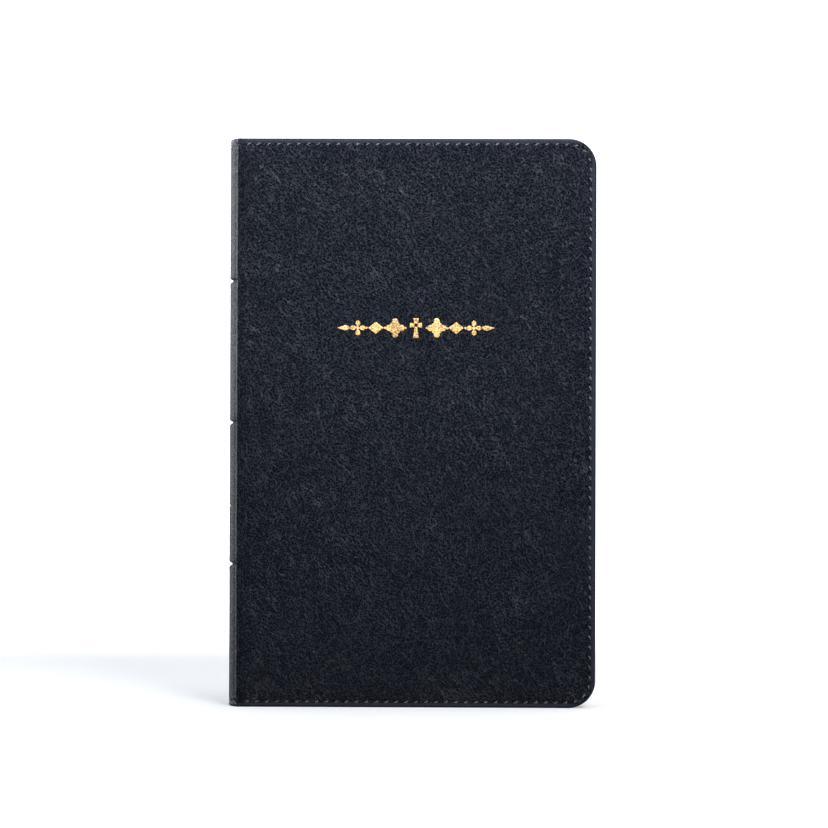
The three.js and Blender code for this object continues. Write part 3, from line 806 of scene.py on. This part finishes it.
build_spine()
spine_stitches("spine_head_stitches", HEIGHT - STITCH_INSET)
spine_stitches("spine_tail_stitches", STITCH_INSET)


# ---------------------------------------------------------------- joints: the leather strip between the spine and each cover, which stays where it is built
JOINT_ROWS = 360
JOINT_THICKNESS = 0.55


def build_joint(side, name):
    start, end = SPINE_END, COVER_START
    valley = (start + end) / 2
    face = -OUTER_Y
    across = np.array([(start + 0.12, face + 0.75), (start + 0.34, face + 0.62), (valley - 0.3, face + 0.78),
                       (valley, face + 0.9), (valley + 0.3, face + 0.82), (end - 0.25, face + 0.62),
                       (end + 0.1, face + 0.6), (end + 0.35, face + 0.75)])
    z, x = np.meshgrid(np.linspace(0.02, HEIGHT - 0.02, JOINT_ROWS), across[:, 0], indexing="ij")
    y = np.broadcast_to(across[:, 1], x.shape)
    lumps = 0.05 * value_noise(x / 0.9, z / 1.4, 40 + side)
    pulled = rolled(np.minimum(z, HEIGHT - z), 0.25, 0.5)
    outer = np.stack([x, -side * (y + lumps + pulled), z], -1)
    inner = np.stack([x, -side * (y + JOINT_THICKNESS - pulled * 0.6), z], -1)
    verts, faces = slab(outer, inner)
    leather = mesh_object(f"{name}_joint_skin", verts, faces, [LEATHER])
    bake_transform(leather)
    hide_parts(f"{name}_joint_leather")


build_joint(FRONT, "front")
build_joint(BACK, "back")


# ---------------------------------------------------------------- gold foil
def raised_plate(outline, centre, back_y, front_y):
    """A thin plate with a bevelled rim from an outline in x and z round a centre."""
    outline = np.array(outline)
    inner = centre + (outline - centre) * 0.94
    layers = [(outline, back_y), (outline, front_y + 0.03), (inner, front_y)]
    verts = np.concatenate([np.stack([o[:, 0], np.full(len(o), y), o[:, 1]], -1) for o, y in layers])
    count = len(outline)
    return verts, quads(3, count, wrap=True) + [list(range(count)), list(range(2 * count, 3 * count))]


PETALS = 4
FOIL_BACK, FRONT_FOIL_RISE, SPINE_FOIL_RISE = 0.3, 0.03, 0.14


def petal_flower(x, z, radius, turn=0.0):
    """Teardrop petals round a point."""
    shapes = []
    for k in range(PETALS):
        angle = turn + k * 2 * math.pi / PETALS
        t = np.linspace(0, 2 * np.pi, 20, endpoint=False)
        along = radius * (0.60 + 0.40 * np.cos(t))
        wide = radius * 0.27 * np.sin(t) * (1.15 + 0.25 * np.cos(t))
        px = x + along * math.cos(angle) - wide * math.sin(angle)
        pz = z + along * math.sin(angle) + wide * math.cos(angle)
        centre = (x + 0.6 * radius * math.cos(angle), z + 0.6 * radius * math.sin(angle))
        shapes.append((np.stack([px, pz], -1), centre))
    return shapes


def disc(x, z, radius, count=18):
    t = np.linspace(0, 2 * np.pi, count, endpoint=False)
    return np.stack([x + radius * np.cos(t), z + radius * np.sin(t)], -1), (x, z)


def diamond(x, z, half_x, half_z):
    return np.array([(x - half_x, z), (x, z - half_z), (x + half_x, z), (x, z + half_z)]), (x, z)


def flared_bar(x, z, half_x, half_z, flare):
    """A bar whose ends widen, for the arms of the cross."""
    if half_x > half_z:
        pts = [(-half_x, -half_z - flare), (0, -half_z), (half_x, -half_z - flare),
               (half_x, half_z + flare), (0, half_z), (-half_x, half_z + flare)]
    else:
        pts = [(-half_x - flare, -half_z), (half_x + flare, -half_z), (half_x, 0),
               (half_x + flare, half_z), (-half_x - flare, half_z), (-half_x, 0)]
    return np.array(pts) + (x, z), (x, z)


def ornament_shapes():
    """A generic border ornament: a small cross between two rows of blossoms, lozenges and beads."""
    half_x, half_z = ORNAMENT_HALF[0], ORNAMENT_HALF[2]
    shapes = [flared_bar(0, 0, 0.62, half_z, 0.5), flared_bar(0, 1.15, 2.5, 0.6, 0.45)]
    for side in (-1, 1):
        shapes += petal_flower(side * 8.6, 0, 3.9) + petal_flower(side * 8.6, 0, 2.6, math.pi / 4)
        shapes.append(disc(side * 8.6, 0, 0.75))
        shapes.append(diamond(side * 16.6, 0, 3.1, 2.5))
        shapes += petal_flower(side * 24.0, 0, 3.0) + [disc(side * 24.0, 0, 0.7)]
        shapes.append(diamond(side * (half_x - 3.3), 0, 3.3, 1.1))
        for x, radius in ((4.3, 0.45), (12.9, 0.5), (20.4, 0.5), (27.4, 0.45)):
            shapes.append(disc(side * x, 0, radius, 12))
    return shapes


def build_foil():
    parts = []
    shift = np.array([ORNAMENT_MID[0], ORNAMENT_MID[2]])
    back_y, front_y = -OUTER_Y + FOIL_BACK, -OUTER_Y - FRONT_FOIL_RISE
    for outline, centre in ornament_shapes():
        parts.append(raised_plate(outline + shift, np.array(centre) + shift, back_y, front_y))
    verts, faces, _ = merged(parts)
    piece("front_foil_motif", verts, faces, [FOIL], "front_cover", "gold_foil", ["front_foil_ornament"],
          flat=True)
    mid_z = (SPINE_FOIL_LOW[2] + SPINE_FOIL_HIGH[2]) / 2
    half_z = (SPINE_FOIL_HIGH[2] - SPINE_FOIL_LOW[2]) / 2
    shapes = [diamond(0, mid_z, 2.6, half_z)]
    for side in (-1, 1):
        shapes += [diamond(side * 4.3, mid_z, 2.0, half_z * 0.45), disc(side * 6.0, mid_z, 0.42)]
    verts, faces, _ = merged([raised_plate(*shape, FOIL_BACK, -SPINE_FOIL_RISE) for shape in shapes])
    wrapped = spine_point(verts[:, 0] / SPINE_RADIUS, SPINE_RADIUS - 0.02 - verts[:, 1], verts[:, 2])
    piece("spine_foil_motif", wrapped, faces, [FOIL], "spine", "gold_foil", ["spine_foil_ornament"],
          flat=True)


build_foil()


# ---------------------------------------------------------------- pages
PAGE_CORNER = 9.0
BUNDLES = 8
FLARE = 14.0  # how far from its fold a section reaches full thickness
NECK = 0.3  # thickness at the fold


def page_outline(low, high, inset):
    """Outline in x and z of a leaf with round fore-edge corners, starting at the fold."""
    start, end = low[0], high[0] - inset
    bottom, top = low[2] + inset, high[2] - inset
    run = np.array([0, 1, 3, 6, 10, FLARE, 20, 30, 45, 60, 75, 90, 105, 120, end - start - PAGE_CORNER])
    turn = np.linspace(0, np.pi / 2, 9)[1:-1]
    centre = end - PAGE_CORNER
    tail = np.stack([start + run, np.full(len(run), bottom)], -1)
    lower = np.stack([centre + PAGE_CORNER * np.sin(turn), bottom + PAGE_CORNER * (1 - np.cos(turn))], -1)
    up = np.linspace(bottom + PAGE_CORNER, top - PAGE_CORNER, 31)
    fore = np.stack([np.full(len(up), end), up], -1)
    upper = lower[::-1] * (1, -1) + (0, bottom + top)
    head = tail[::-1] * (1, -1) + (0, bottom + top)
    return np.concatenate([tail, lower, fore, upper, head])


def section_mesh(node, rng):
    """A sewn section as eight bundles of leaves, whose edges are not quite even."""
    low, high = box_mm(node)
    mid_y = (low[1] + high[1]) / 2
    thickness = high[1] - low[1]
    rings = []
    for k in range(BUNDLES):
        shift = rng.uniform(0.0, 0.09)
        for share, extra in ((0.04, 0.05), (0.22, 0.0), (0.78, 0.0), (0.96, 0.05)):
            outline = page_outline(low, high, shift + extra)
            reach = outline[:, 0] - low[0]
            full = NECK + (thickness - NECK) * np.clip(reach / FLARE, 0, 1)
            y = mid_y + full * ((k + share) / BUNDLES - 0.5)
            ripple = 0.02 * np.sin(outline[:, 1] / 9 + k * 1.7)
            rings.append(np.stack([outline[:, 0] - ripple * (reach > 20), y, outline[:, 1]], -1))
    around = len(rings[0])
    faces = quads(len(rings), around, wrap=True)
    edges = len(faces)
    faces += [list(range(around)), list(range((len(rings) - 1) * around, len(rings) * around))]
    return np.concatenate(rings), faces, [1] * edges + [0, 0]


def build_pages():
    rng = np.random.default_rng(7)
    for node in sorted(n for n in frame["nodes"] if n.startswith("section_")):
        verts, faces, which = section_mesh(node, rng)
        piece(f"{node}_leaves", verts, faces, [PAGE, GILT], node, "page_paper", [node],
              face_material=which, flat=True)


build_pages()


# ---------------------------------------------------------------- head and tail bands, ribbon
BACK_ROUND = 80.0  # radius of the rounded back of the pages
BEAD_SIDES = 14


def band(node, name, up):
    """A silk-wrapped bead over the page ends, with its tape down the back."""
    low, high = box_mm(node)
    bead_z = high[2] - 0.8 if up else low[2] + 0.8
    half = (high[1] - low[1]) / 2
    radius_x, radius_z = 1.1, 0.72
    wrap = 0.62
    y = np.arange(-half, half + 0.01, wrap / 6)
    bow = BACK_ROUND - np.sqrt(BACK_ROUND**2 - y**2)
    turn = np.linspace(0, 2 * np.pi, BEAD_SIDES, endpoint=False)
    swell = 0.86 + 0.14 * np.abs(np.sin(np.pi * y / wrap))
    x = low[0] + 0.1 + radius_x + bow[:, None] + radius_x * swell[:, None] * np.cos(turn)
    z = bead_z + radius_z * swell[:, None] * np.sin(turn)
    verts = np.stack([x, np.broadcast_to(y[:, None], x.shape), z], -1).reshape(-1, 3)
    faces = quads(len(y), BEAD_SIDES, wrap=True)
    stripe = [int(y[i // BEAD_SIDES] // wrap) % 2 for i in range(len(faces))]
    faces += [list(range(BEAD_SIDES)), list(range((len(y) - 1) * BEAD_SIDES, len(y) * BEAD_SIDES))]
    stripe += [0, 0]
    tape_z = np.linspace(bead_z - 0.4, low[2], 12) if up else np.linspace(bead_z + 0.4, high[2], 12)
    tape_y, tape_z = np.meshgrid(np.linspace(-half, half, 40), tape_z)
    tape_x = low[0] + 0.03 + BACK_ROUND - np.sqrt(BACK_ROUND**2 - tape_y**2)
    outer = np.stack([tape_x, tape_y, tape_z], -1)
    tape = slab(outer, outer + (0.14, 0, 0))
    verts, faces, sizes = merged([(verts, faces), tape])
    stripe += [2] * sizes[1]
    piece(name, verts, faces, [BAND_GOLD, BAND_NAVY, BAND_TAPE], "spine", "band_cloth", [node],
          face_material=stripe)


band("head_band", "head_band_silk", True)
band("tail_band", "tail_band_silk", False)


def build_ribbon():
    """A flat satin ribbon with woven edges, a slanted foot and a tab at its head."""
    low, high = box_mm("ribbon_marker")
    left, right = high[0] - 6.0, high[0]
    z = np.linspace(high[2], low[2], 120)
    share = np.linspace(0, 1, 11)
    foot = 4.0 * smooth(0.93, 1.0, np.linspace(0, 1, len(z)))
    tab = (left - low[0]) * (1 - smooth(4.5, 7.5, high[2] - z))
    x = (left - tab)[:, None] + (right - left + tab)[:, None] * share
    height = z[:, None] + foot[:, None] * (share - 0.5)
    half = 0.07 + 0.02 * (np.abs(share - 0.5) > 0.42)
    outer = np.stack([x, np.broadcast_to(-half, x.shape), height], -1)
    inner = outer * (1, -1, 1)
    verts, faces = slab(outer, inner)
    piece("ribbon_satin", verts, faces, [RIBBON], "spine", "ribbon", ["ribbon_marker"])


build_ribbon()


# ---------------------------------------------------------------- CAD pieces that stay
def paint(node, material):
    obj = frame["nodes"][node]
    obj.data.materials.clear()
    obj.data.materials.append(material)


for side_name in ("front", "back"):
    paint(f"{side_name}_cover_board", GREY_BOARD)
    paint(f"{side_name}_pastedown", ENDPAPER)
    paint(f"{side_name}_flyleaf", ENDPAPER)
paint("spine_inlay", SPINE_CARD)
paint("spine_lining", KRAFT)
paint("super_cloth", SUPER)
for node_name in frame["nodes"]:
    if node_name.startswith("sewing_thread"):
        paint(node_name, LINEN)


# ---------------------------------------------------------------- studio
def studio():
    """A pale sweep under the book and up behind it, which glows a little, and more behind."""
    nodes = Nodes("studio_paper")
    tone = nodes.mix(nodes.noise(0.004, 2), (0.80, 0.81, 0.83), (0.83, 0.835, 0.845))
    behind = nodes.ramp(nodes.axis(1), 300.0, 800.0, 0.25, 1.0)
    nodes.shader.inputs["Emission Color"].default_value = (0.96, 0.975, 1.0, 1)
    nodes.put(behind, nodes.shader.inputs["Emission Strength"])
    sweep_material = nodes.surface(tone, 0.95, Specular_IOR_Level=0.05)
    near, far, radius, wall = -2400.0, 2600.0, 500.0, 2400.0
    flat = [(y, 0.0) for y in np.linspace(near, far - radius, 16)]
    bend = [(far - radius + radius * math.sin(a), radius * (1 - math.cos(a)))
            for a in np.linspace(0, math.pi / 2, 14)[1:]]
    rise = [(far, radius + (wall - radius) * s) for s in (0.3, 0.6, 1.0)]
    profile = np.array(flat + bend + rise)
    x = np.linspace(-2400, 2400, 13)
    grid = np.stack([np.broadcast_to(x, (len(profile), len(x))),
                     np.broadcast_to(profile[:, :1], (len(profile), len(x))),
                     np.broadcast_to(profile[:, 1:], (len(profile), len(x)))], -1)
    sweep = mesh_object("studio_sweep", grid.reshape(-1, 3), quads(len(profile), len(x)), [sweep_material])
    for polygon in sweep.data.polygons:
        if polygon.normal.z < -0.1 or polygon.normal.y > 0.1:
            polygon.flip()


def softbox(name, place, target, size, power, color=(1, 1, 1), spread=180):
    light = bpy.data.lights.new(name, "AREA")
    light.shape = "RECTANGLE"
    light.size, light.size_y = size
    light.energy = power
    light.spread = math.radians(spread)
    light.color = color
    obj = bpy.data.objects.new(name, light)
    obj.location = place
    obj.rotation_euler = (Vector(target) - Vector(place)).to_track_quat("-Z", "Y").to_euler()
    bpy.context.scene.collection.objects.link(obj)
    return obj


def light_only_book(light):
    """Keep a light off the sweep, as a flag beside it would."""
    book = bpy.data.collections.new(f"{light.name}_receivers")
    for obj in bpy.data.objects:
        if obj.type == "MESH" and obj.name != "studio_sweep":
            book.objects.link(obj)
    light.light_linking.receiver_collection = book


def world():
    made = bpy.data.worlds.new("studio_world")
    bpy.context.scene.world = made
    made.use_nodes = True
    background = made.node_tree.nodes["Background"]
    background.inputs["Color"].default_value = (0.90, 0.93, 1.0, 1)
    background.inputs["Strength"].default_value = 0.10


def camera():
    """Level with the middle of the book and a little to the fore-edge side, with a long lens."""
    azimuth, distance, eye_height, aside = math.radians(1.0), 1.6, 0.1055, 0.0009
    pitch_up, roll = math.radians(0.56), math.radians(0.18)
    data = bpy.data.cameras.new("camera")
    data.sensor_width = 36.0
    data.lens = 168.5
    obj = bpy.data.objects.new("camera", data)
    front = -OUTER_Y * MM
    obj.location = (distance * math.sin(azimuth) + aside, front - distance * math.cos(azimuth), eye_height)
    facing = Euler((math.pi / 2 + pitch_up, 0, azimuth)).to_matrix()
    obj.rotation_euler = (facing @ Matrix.Rotation(roll, 3, "Z")).to_euler()
    bpy.context.scene.collection.objects.link(obj)
    bpy.context.scene.camera = obj


studio()
world()
softbox("overhead", (0.1, -0.25, 2.0), (0, -0.1, 0), (1.5, 1.5), 29, (0.94, 0.97, 1.0))
softbox("key", (0.60, -1.75, 1.05), (0, 0, 0.1), (0.5, 0.5), 25, (1.0, 0.985, 0.96))
top = softbox("top", (-0.02, -0.40, 0.50), (0, -0.013, 0.215), (0.30, 0.16), 1.7, spread=60)
rim = softbox("rim_left", (-0.75, 0.72, 0.35), (0, 0, 0.16), (0.3, 0.5), 1.8, (0.88, 0.92, 1.0), spread=60)
light_only_book(top)
light_only_book(rim)
camera()
bpy.context.scene.view_settings.view_transform = "Standard"
